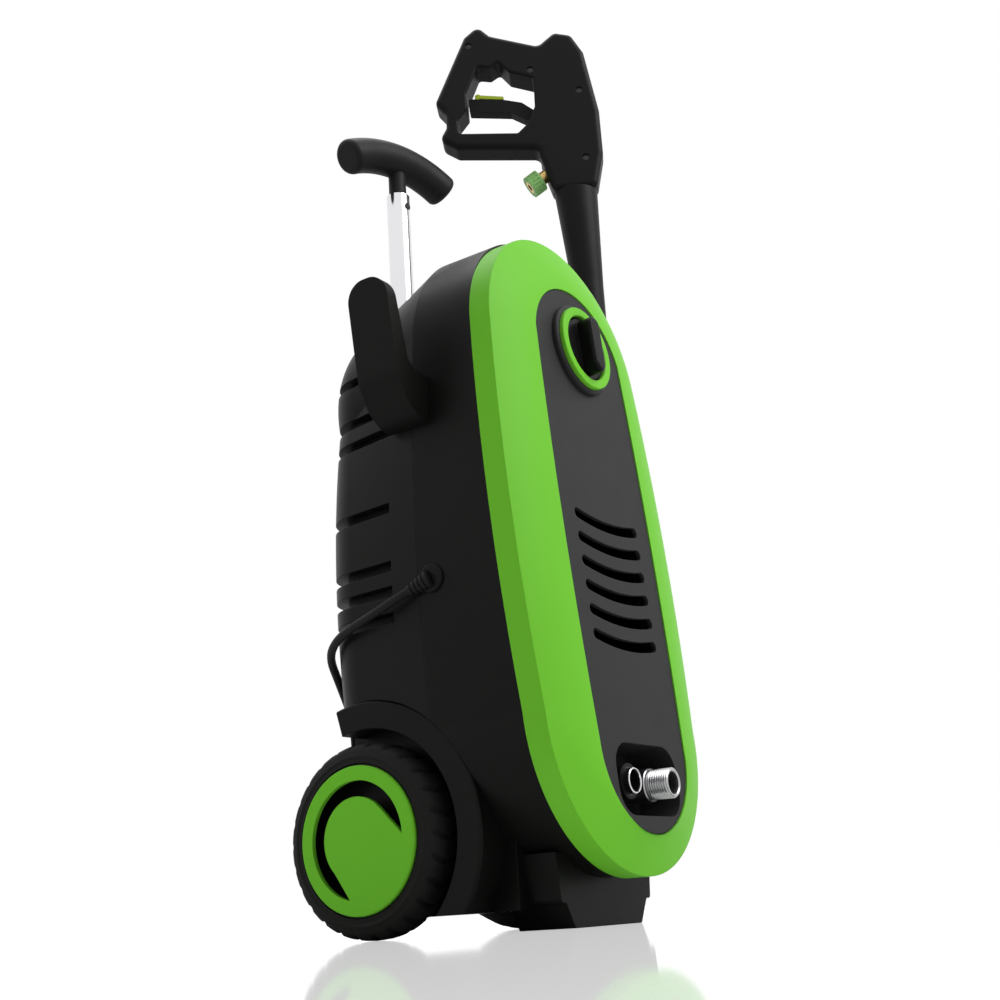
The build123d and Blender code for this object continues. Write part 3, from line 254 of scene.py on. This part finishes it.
tyreLook = {
    "colour": (0.0075, 0.0072, 0.007),
    "bloomColour": (0.016, 0.0155, 0.015),
    "bloomScale": 38.0,
    "bloomDetail": 5.0,
    "bloomRough": 0.6,
    "bloomPower": 2.0,
    "bloomDull": 0.25,
    "rough": 0.5,
    "poreScale": 700.0,
    "poreDetail": 2.0,
    "poreDepth": 0.0004,
    "poreStrength": 0.3,
    "ior": 1.45,
    "mirror": 0.16,
}
gripLook = {
    **tyreLook,
    "colour": (0.012, 0.012, 0.0125),
    "rough": 0.38,
    "poreScale": 1200.0,
    "poreStrength": 0.2,
}
cordLook = {
    **tyreLook,
    "colour": (0.009, 0.009, 0.009),
    "rough": 0.4,
    "bloomScale": 60.0,
    "poreStrength": 0.15,
}


# metals: one noise drawn out along the turning or drawing direction
def workedMetal(name, look):
    finish = Finish(name)
    stretched = finish.node(
        "Mapping", None, {"Vector": finish.place(), "Scale": look["stretch"]}
    )
    lines = finish.noise(look["lineScale"], look["lineDetail"], look["lineMix"], stretched)
    stain = finish.noise(look["stainScale"], look["stainDetail"])
    sockets = {
        "Base Color": finish.blend(stain, tinted(look["colour"], 1 - look["stain"]), look["colour"]),
        "Metallic": 1.0,
        "Roughness": lines * look["lineRough"] + look["rough"],
        "Normal": finish.bump(lines, look["lineDepth"], look["lineStrength"]),
    }
    return finish.surface(sockets)


chromeLook = {
    "colour": (0.82, 0.82, 0.84),
    "stain": 0.08,
    "stainScale": 30.0,
    "stainDetail": 4.0,
    "stretch": (1.0, 1.0, 0.04),
    "lineScale": 900.0,
    "lineDetail": 3.0,
    "lineMix": 0.6,
    "lineRough": 0.08,
    "rough": 0.08,
    "lineDepth": 0.00004,
    "lineStrength": 0.1,
}
darkSteelLook = {**chromeLook, "colour": (0.05, 0.05, 0.052), "rough": 0.35, "stretch": (1, 1, 1)}
steelLook = {
    **chromeLook,
    "colour": (0.5, 0.5, 0.51),
    "rough": 0.25,
    "lineRough": 0.15,
    "stretch": (1, 1, 1),
}
castLook = {
    **steelLook,
    "colour": (0.58, 0.58, 0.59),
    "rough": 0.45,
    "lineScale": 400.0,
    "lineStrength": 0.4,
}
ironLook = {**steelLook, "colour": (0.16, 0.16, 0.17), "rough": 0.5, "stretch": (0.05, 0.05, 1.0)}
brassLook = {**steelLook, "colour": (0.66, 0.46, 0.17), "rough": 0.28}

finishes = {
    "green_shell": mouldedPlastic("greenSatin", greenLook),
    "black_panel": mouldedPlastic("graphitePanel", panelLook),
    "black_shell": mouldedPlastic("blackShell", shellLook),
    "gun_black": mouldedPlastic("gunBlack", gunLook),
    "lock_green": mouldedPlastic("lockYellowGreen", lockLook),
    "filter_grey": mouldedPlastic("filterGrey", filterLook),
    "tyre_black": softRubber("tyreRubber", tyreLook),
    "grip_black": softRubber("gripRubber", gripLook),
    "cord_black": softRubber("leadJacket", cordLook),
    "chrome": workedMetal("brightChrome", chromeLook),
    "steel": workedMetal("turnedSteel", steelLook),
    "dark_steel": workedMetal("blackenedSteel", darkSteelLook),
    "cast_metal": workedMetal("castAluminium", castLook),
    "motor_iron": workedMetal("stackedIron", ironLook),
    "pump_brass": workedMetal("machinedBrass", brassLook),
}
ownFinishes = {
    "dial_knob": mouldedPlastic("knobBlack", knobLook),
    "hose_nut": mouldedPlastic("nutPaleGreen", nutLook),
}
print("finishes made:", len(finishes) + len(ownFinishes))

shading = {"sharpDegrees": 32.0}
slotOf = {row["node"]: row["material_slot"] for row in frame["record"]["subparts"]}
for name, node in nodes.items():
    mesh = node.data
    mesh.materials.clear()
    mesh.materials.append(ownFinishes.get(name, finishes[slotOf[name]]))
    mesh.shade_smooth()
    mesh.set_sharp_from_angle(angle=math.radians(shading["sharpDegrees"]))
print("frame nodes finished")


# a closed turned form: profile points are (along the axis, radius), in metres
def turnedForm(name, profile, steps, base, axis, slot, body, radiusAt=None):
    axis = Vector(axis).normalized()
    across = axis.orthogonal().normalized()
    third = axis.cross(across)
    points = []
    for step in range(steps):
        angle = 2 * math.pi * step / steps
        spoke = across * math.cos(angle) + third * math.sin(angle)
        for along, radius in profile:
            reach = radiusAt(angle, along, radius) if radiusAt else radius
            points.append(Vector(base) + axis * along + spoke * reach)
    count = len(profile)
    faces = []
    for step in range(steps):
        following = (step + 1) % steps
        for place in range(count):
            beyond = (place + 1) % count
            faces.append(
                (
                    step * count + place,
                    step * count + beyond,
                    following * count + beyond,
                    following * count + place,
                )
            )
    mesh = bpy.data.meshes.new(name)
    mesh.from_pydata(points, [], faces)
    mesh.shade_smooth()
    mesh.set_sharp_from_angle(angle=math.radians(shading["sharpDegrees"]))
    mesh.materials.append(finishes[slot])
    piece = bpy.data.objects.new(name, mesh)
    bpy.context.scene.collection.objects.link(piece)
    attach(piece, body)
    return piece


# tyres: rounded casing with slanted tread blocks that show in the outline
tyre = {
    "centreY": 0.0695,
    "centreZ": 0.0845,
    "outerX": 0.138,
    "blocks": 26,
    "stepsPerBlock": 12,
    "grooveDepth": 0.0026,
    "grooveShare": 0.34,
    "grooveSteep": 1.6,
    "slant": 0.3,
    "treadStart": 0.0788,
    "treadFade": 0.004,
    "profile": [
        (0.0, 0.066),
        (0.0005, 0.0695),
        (0.0, 0.0705),
        (0.0, 0.0725),
        (0.0008, 0.0735),
        (0.0014, 0.0765),
        (0.0032, 0.0798),
        (0.006, 0.0822),
        (0.0095, 0.0836),
        (0.015, 0.0843),
        (0.021, 0.0845),
        (0.027, 0.0843),
        (0.0325, 0.0836),
        (0.036, 0.0822),
        (0.0388, 0.0798),
        (0.0406, 0.0765),
        (0.0412, 0.0735),
        (0.042, 0.0725),
        (0.042, 0.0705),
        (0.0415, 0.0695),
        (0.042, 0.066),
    ],
}


def treadRadius(angle, along, radius):
    if radius < tyre["treadStart"]:
        return radius
    width = tyre["profile"][-1][0]
    lean = tyre["slant"] * abs(along / width - 0.5) * 2
    phase = (angle * tyre["blocks"] / (2 * math.pi) + lean) % 1.0
    gap = min(phase, 1 - phase) * 2 / tyre["grooveShare"]
    groove = max(0.0, min(1.0, tyre["grooveSteep"] * (1 - gap)))
    share = min(1.0, (radius - tyre["treadStart"]) / tyre["treadFade"])
    return radius - tyre["grooveDepth"] * groove * share


for side, body, node in ((-1, "left_wheel", "left_tyre"), (1, "right_wheel", "right_tyre")):
    start = (side * tyre["outerX"], tyre["centreY"], tyre["centreZ"])
    tread = turnedForm(
        body + "_tread",
        tyre["profile"],
        tyre["blocks"] * tyre["stepsPerBlock"],
        start,
        (-side, 0, 0),
        "tyre_black",
        body,
        treadRadius,
    )
    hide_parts(node)
print("tyres built")

# water inlet: turned brass body with a helical hose thread, plated bright
inlet = {
    "tip": (0.0308, -0.154, 0.1168),
    "threadRadius": 0.01345,
    "threadDepth": 0.0013,
    "threadSteep": 2.6,
    "threadCrest": 0.15,
    "pitch": 0.0023,
    "threadEnd": 0.0195,
    "samplesPerPitch": 8,
    "steps": 72,
    "bore": 0.010,
    "boreEnd": 0.022,
    "narrowBore": 0.006,
    "collarStart": 0.022,
    "collarRadius": 0.0152,
    "end": 0.0985,
    "lip": 0.0008,
}


def inletProfile(look):
    step = look["pitch"] / look["samplesPerPitch"]
    count = int((look["threadEnd"] - look["lip"]) / step)
    thread = [(look["lip"] + step * index, look["threadRadius"]) for index in range(count)]
    return [
        (0.0, look["bore"] + look["lip"]),
        (0.0, look["threadRadius"] - look["threadDepth"]),
        *thread,
        (look["collarStart"], look["threadRadius"] - look["threadDepth"]),
        (look["collarStart"], look["collarRadius"] - look["lip"]),
        (look["collarStart"] + look["lip"], look["collarRadius"]),
        (look["end"], look["collarRadius"]),
        (look["end"], look["narrowBore"]),
        (look["boreEnd"], look["narrowBore"]),
        (look["boreEnd"], look["bore"]),
        (look["lip"], look["bore"]),
    ]


def hoseThread(angle, along, radius):
    if radius != inlet["threadRadius"]:
        return radius
    phase = (along / inlet["pitch"] - angle / (2 * math.pi)) % 1.0
    cut = inlet["threadSteep"] * abs(phase - 0.5) - inlet["threadCrest"]
    return radius - inlet["threadDepth"] * min(1.0, max(0.0, cut))


hoseInlet = turnedForm(
    "inlet_thread_body",
    inletProfile(inlet),
    inlet["steps"],
    inlet["tip"],
    (0, 1, 0),
    "steel",
    "machine",
    hoseThread,
)
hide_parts("water_inlet")

filterCup = {
    "steps": 48,
    "profile": [
        (0.0022, 0.0088),
        (0.0022, 0.0094),
        (0.0028, 0.0098),
        (0.018, 0.0098),
        (0.018, 0.0006),
        (0.0165, 0.0006),
        (0.0165, 0.0086),
    ],
}
strainer = turnedForm(
    "inlet_strainer",
    filterCup["profile"],
    filterCup["steps"],
    inlet["tip"],
    (0, 1, 0),
    "filter_grey",
    "machine",
)
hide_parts("inlet_filter")
print("inlet threaded")

# pressure outlet: thin bright lip on a dark counterbored body
outlet = {
    "tip": (-0.0308, -0.150, 0.1168),
    "steps": 64,
    "body": [
        (0.0012, 0.0093),
        (0.0012, 0.0109),
        (0.006, 0.011),
        (0.006, 0.0125),
        (0.105, 0.0125),
        (0.105, 0.004),
        (0.016, 0.004),
        (0.0145, 0.0088),
    ],
    "lip": [
        (0.0, 0.0099),
        (0.0, 0.0105),
        (0.0005, 0.011),
        (0.0016, 0.011),
        (0.0016, 0.0095),
        (0.0006, 0.0096),
    ],
}
for part, slot in (("body", "dark_steel"), ("lip", "chrome")):
    turned = turnedForm(
        "outlet_" + part, outlet[part], outlet["steps"], outlet["tip"], (0, 1, 0), slot, "machine"
    )
    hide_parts("pressure_outlet")
print("outlet turned")

# strain relief: rounded flange on the housing and a slotted boot that follows the lead
boot = {
    "flangeBase": (-0.1345, -0.023, 0.301),
    "flangeLength": 0.004,
    "flangeRadius": 0.013,
    "flangeRound": 0.0018,
    "root": (-0.137, -0.023, 0.301),
    "axis": (-0.160442, 0.922540, -0.350966),
    "length": 0.024,
    "rootRadius": 0.009,
    "tipRadius": 0.005,
    "ribs": 5,
    "ribShape": ((0.0, 1.0), (0.12, 1.0), (0.24, 0.0), (0.88, 0.0)),
    "slotDepth": 0.0011,
    "core": 0.001,
    "steps": 40,
    "flangeSteps": 48,
    "roundSteps": 6,
}


def bootProfile(look):
    points = [(0.0, look["core"])]
    for rib in range(look["ribs"]):
        for share, cut in look["ribShape"]:
            along = (rib + share) / look["ribs"]
            taper = look["rootRadius"] + (look["tipRadius"] - look["rootRadius"]) * along
            points.append((look["length"] * along, taper - look["slotDepth"] * cut))
    points.append((look["length"], look["tipRadius"]))
    points.append((look["length"], look["core"]))
    return points


def flangeProfile(look):
    length, radius, rounding = look["flangeLength"], look["flangeRadius"], look["flangeRound"]
    points = [(0.0, look["core"]), (0.0, radius)]
    for step in range(look["roundSteps"] + 1):
        angle = math.pi / 2 * step / look["roundSteps"]
        points.append(
            (
                length - rounding + rounding * math.sin(angle),
                radius - rounding + rounding * math.cos(angle),
            )
        )
    points.append((length, look["core"]))
    return points


bootFlange = turnedForm(
    "lead_flange",
    flangeProfile(boot),
    boot["flangeSteps"],
    boot["flangeBase"],
    (-1, 0, 0),
    "black_shell",
    "machine",
)
bootSleeve = turnedForm(
    "lead_boot", bootProfile(boot), boot["steps"], boot["root"], boot["axis"], "cord_black", "machine"
)
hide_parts("cord_gland")
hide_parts("cord_gland")
print("strain relief built")

# mains plug: moulded two-pin body with finger grooves, lying on the coil
plug = {
    "root": (0.208, 0.0286, 0.0525),
    "axis": (-1, 0, 0),
    "length": 0.040,
    "rootRadius": 0.008,
    "faceRadius": 0.015,
    "faceRound": 0.002,
    "grooves": 4,
    "grooveDepth": 0.0009,
    "pinSpread": 0.0095,
    "pinRadius": 0.0024,
    "pinLength": 0.019,
    "pinSink": 0.002,
    "pinCore": 0.0003,
    "pinSteps": 24,
    "core": 0.0005,
    "steps": 48,
    "heelRound": 0.001,
    "grooveShape": ((0.1, 0.0), (0.6, 0.0), (0.7, 1.0), (0.9, 1.0)),
    "grooveReach": 0.55,  # shares of the body's length
    "waist": 0.58,
    "shoulder": 0.82,
    "shoulderDrop": 0.0012,
    "softShare": 0.3,
    "pinNeck": 0.75,
}


def plugProfile(look):
    length, face, soft = look["length"], look["faceRadius"], look["faceRound"]
    flare = face - look["rootRadius"]
    points = [(0.0, look["core"]), (0.0, look["rootRadius"] - look["heelRound"])]
    for groove in range(look["grooves"]):
        for share, cut in look["grooveShape"]:
            along = look["grooveReach"] * (groove + share) / look["grooves"]
            radius = look["rootRadius"] + flare * along
            points.append((length * along, radius - look["grooveDepth"] * cut))
    points.append((look["waist"] * length, look["rootRadius"] + look["waist"] * flare))
    points.append((look["shoulder"] * length, face - look["shoulderDrop"]))
    points.append((length - soft, face))
    points.append((length - look["softShare"] * soft, face - look["softShare"] * soft))
    points.append((length, face - soft))
    points.append((length, look["core"]))
    return points


def pinProfile(look):
    tip, wide, core = look["pinLength"], look["pinRadius"], look["pinCore"]
    return [
        (-look["pinSink"], core),
        (-look["pinSink"], wide),
        (tip - wide, wide),
        (tip - look["softShare"] * wide, look["pinNeck"] * wide),
        (tip, look["softShare"] * wide),
        (tip, core),
    ]


plugBody = turnedForm(
    "plug_body", plugProfile(plug), plug["steps"], plug["root"], plug["axis"], "cord_black", "machine"
)
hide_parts("cord_plug")
for side in (-1, 1):
    rootX, rootY, rootZ = plug["root"]
    pinBase = (rootX - plug["length"], rootY + side * plug["pinSpread"], rootZ)
    pinName = "plug_pin_" + ("near" if side < 0 else "far")
    pin = turnedForm(pinName, pinProfile(plug), plug["pinSteps"], pinBase, plug["axis"], "steel", "machine")
print("plug built")

# coil tie: one flat strap with rounded corners round the bundle
tie = {"thickness": 0.0011, "corner": 0.006, "cornerSteps": 6}


def tieStrap(look):
    low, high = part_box("cord_tie")
    corner = look["corner"]
    inset = look["thickness"] / 2
    lowY, highY, lowZ, highZ = low.y + inset, high.y - inset, low.z + inset, high.z - inset
    loop = []
    corners = (
        (highY - corner, lowZ + corner, -90),
        (highY - corner, highZ - corner, 0),
        (lowY + corner, highZ - corner, 90),
        (lowY + corner, lowZ + corner, 180),
    )
    for centreY, centreZ, start in corners:
        for step in range(look["cornerSteps"] + 1):
            angle = math.radians(start + 90 * step / look["cornerSteps"])
            outward = Vector((0, math.cos(angle), math.sin(angle)))
            loop.append((Vector((0, centreY, centreZ)) + outward * corner, outward))
    points = []
    for place, outward in loop:
        for across, lift in ((low.x, -1), (high.x, -1), (high.x, 1), (low.x, 1)):
            points.append(Vector((across, place.y, place.z)) + outward * (lift * inset))
    faces = []
    for index in range(len(loop)):
        following = (index + 1) % len(loop)
        for edge in range(4):
            beyond = (edge + 1) % 4
            faces.append((index * 4 + edge, index * 4 + beyond, following * 4 + beyond, following * 4 + edge))
    mesh = bpy.data.meshes.new("coil_strap")
    mesh.from_pydata(points, [], faces)
    mesh.shade_smooth()
    mesh.set_sharp_from_angle(angle=math.radians(shading["sharpDegrees"]))
    mesh.materials.append(finishes["cord_black"])
    strap = bpy.data.objects.new("coil_strap", mesh)
    bpy.context.scene.collection.objects.link(strap)
    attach(strap, "machine")
    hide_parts("cord_tie")
    return strap


coilStrap = tieStrap(tie)
print("coil tied")

# mains lead: the route's points in metres, then the coil's turns, as one spline
lead = {
    "diameter": 0.008,
    "route": [
        (-0.140851, -0.000859, 0.292577),
        (-0.143418, 0.013902, 0.286962),
        (-0.141, 0.040, 0.279),
        (-0.1375, 0.066, 0.273),
        (-0.1295, 0.095, 0.266),
        (-0.111, 0.121, 0.256),
        (-0.084, 0.134, 0.238),
        (-0.058, 0.142, 0.210),
        (-0.033, 0.149, 0.175),
        (-0.008, 0.155, 0.142),
        (0.020, 0.161, 0.114),
        (0.050, 0.165, 0.090),
        (0.080, 0.168, 0.069),
        (0.107, 0.166, 0.049),
        (0.131, 0.158, 0.032),
        (0.154, 0.150, 0.018),
        (0.176, 0.145, 0.0085),
        (0.194, 0.1434, 0.0056),
        (0.208, 0.1434, 0.0056),
    ],
    "coilCentre": (0.216, 0.080),
    "coilOuter": 0.0634,
    "pitch": 0.0098,
    "layer": 0.0092,
    "layers": 4,
    "halfTurns": 6,
    "floorGap": 0.0016,
    "plugRadius": 0.015,
    "plugRest": 0.0003,
    "plugInset": 0.012,
    "pointsPerHalfTurn": 9,
    "roundSteps": 4,
    "splineSteps": 6,
    "length": 5.0,
}


def coilStops(look):
    stops = [(look["coilOuter"], look["diameter"] / 2 + look["floorGap"])]
    for layer in range(look["layers"]):
        step = look["pitch"] / 2 * (1 if layer % 2 else -1)
        for turn in range(look["halfTurns"]):
            stops.append((stops[-1][0] + step, stops[-1][1]))
        stops.append((stops[-1][0], stops[-1][1] + look["layer"]))
    top = stops[-2][1] + look["diameter"] / 2
    stops.append((look["coilOuter"] - look["plugInset"], top + look["plugRadius"] + look["plugRest"]))
    return stops


def coilPoints(look):
    stops = coilStops(look)
    count = look["pointsPerHalfTurn"]
    widen = 1 / math.cos(math.pi / count / 2)  # the spline runs inside its points
    points = []
    for index in range(len(stops) - 1):
        (startRadius, startHeight), (endRadius, endHeight) = stops[index], stops[index + 1]
        for step in range(count):
            share = step / count
            angle = math.pi * (0.5 - index - share)
            radius = (startRadius + (endRadius - startRadius) * share) * widen
            rise = share * share * (3 - 2 * share)
            points.append(
                (
                    look["coilCentre"][0] + radius * math.cos(angle),
                    look["coilCentre"][1] + radius * math.sin(angle),
                    startHeight + (endHeight - startHeight) * rise,
                )
            )
    lastRadius, lastHeight = stops[-1]
    side = 1 if len(stops) % 2 else -1
    end = Vector((look["coilCentre"][0], look["coilCentre"][1] + side * lastRadius, lastHeight))
    heading = Vector((side, 0, 0))
    return points + [tuple(end), tuple(end + heading * look["diameter"])]


def smoothCord(name, points, look, slot):
    curve = bpy.data.curves.new(name, "CURVE")
    curve.dimensions = "3D"
    curve.bevel_depth = look["diameter"] / 2
    curve.bevel_resolution = look["roundSteps"]
    curve.resolution_u = look["splineSteps"]
    curve.use_fill_caps = True
    spline = curve.splines.new("NURBS")
    spline.points.add(len(points) - 1)
    for target, point in zip(spline.points, points):
        target.co = (*point, 1)
    spline.order_u = 3
    spline.use_endpoint_u = True
    curve.materials.append(finishes[slot])
    piece = bpy.data.objects.new(name, curve)
    bpy.context.scene.collection.objects.link(piece)
    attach(piece, "machine")
    return piece


leadPoints = lead["route"] + coilPoints(lead)
mainsLead = smoothCord("mains_lead", leadPoints, lead, "cord_black")
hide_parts("power_cord", "cord_coil")
print("mains lead laid with", len(leadPoints), "points")

# studio: pale floor, white surroundings, soft boxes
studio = {
    "floorSize": 60.0,
    "floorColour": (0.9, 0.9, 0.9),
    "floorRough": 0.05,
    "floorIor": 1.45,
    "floorScuff": 0.985,
    "scuffScale": 3.0,
    "scuffDetail": 3.0,
    "floorGlow": 0.42,
    "glowLevel": 1.22,
    "glowCentre": (-0.55, -0.4, 0.0),  # clear floor between machine and camera
    "glowStart": 0.7,
    "glowFull": 1.6,
    "skyLight": 0.2,
    "lamps": [
        {"name": "frontBox", "place": (0.45, -2.1, 2.2), "size": 1.8, "power": 58.0, "mirrored": True},
        {"name": "leftBox", "place": (-2.0, 1.3, 0.65), "size": 0.8, "power": 9.0, "mirrored": False},
        {"name": "topBox", "place": (0.2, 0.5, 2.7), "size": 1.6, "power": 20.0, "mirrored": True},
    ],
    "aim": (0.0, 0.0, 0.45),
}


def buildStudio(look):
    half = look["floorSize"] / 2
    mesh = bpy.data.meshes.new("studioFloor")
    corners = [(-half, -half, 0), (half, -half, 0), (half, half, 0), (-half, half, 0)]
    mesh.from_pydata(corners, [], [(0, 1, 2, 3)])
    finish = Finish("paleFloor")
    scuff = finish.noise(look["scuffScale"], look["scuffDetail"])
    worn = tinted(look["floorColour"], look["floorScuff"])
    pale = finish.node(
        "BsdfPrincipled",
        None,
        {
            "Base Color": finish.blend(scuff, worn, look["floorColour"]),
            "Roughness": look["floorRough"],
            "IOR": look["floorIor"],
        },
    )
    glow = finish.node("Emission", None, {"Color": (1, 1, 1, 1), "Strength": look["glowLevel"]})
    seen = finish.node("LightPath", out="Is Camera Ray")
    spots = {0: finish.place(), 1: look["glowCentre"]}
    away = finish.node("VectorMath", {"operation": "DISTANCE"}, spots, "Value")
    share = finish.node(
        "MapRange",
        {"interpolation_type": "SMOOTHSTEP"},
        {
            "Value": away,
            "From Min": look["glowStart"],
            "From Max": look["glowFull"],
            "To Min": look["floorGlow"],
            "To Max": 1.0,
        },
    )
    lit = finish.node("MixShader", None, {0: seen * share, 1: pale, 2: glow})
    finish.node("OutputMaterial", None, {"Surface": lit})
    mesh.materials.append(finish.made)
    floor = bpy.data.objects.new("studioFloor", mesh)
    bpy.context.scene.collection.objects.link(floor)
    sky = Finish("studioWorld", bpy.data.worlds)
    bpy.context.scene.world = sky.made
    shown = sky.node("LightPath", out="Is Camera Ray")
    for ray in ("Is Glossy Ray", "Is Transmission Ray"):
        shown = shown.either(sky.node("LightPath", out=ray))
    level = shown * (1 - look["skyLight"]) + look["skyLight"]
    white = sky.node("Background", None, {"Color": (1, 1, 1, 1), "Strength": level})
    sky.node("OutputWorld", None, {"Surface": white})
    for lamp in look["lamps"]:
        data = bpy.data.lights.new(lamp["name"], "AREA")
        data.energy = lamp["power"]
        data.size = lamp["size"]
        box = bpy.data.objects.new(lamp["name"], data)
        bpy.context.scene.collection.objects.link(box)
        box.location = lamp["place"]
        box.visible_glossy = lamp["mirrored"]
        facing = Vector(look["aim"]) - Vector(lamp["place"])
        box.rotation_euler = facing.to_track_quat("-Z", "Y").to_euler()


buildStudio(studio)
print("studio lit")
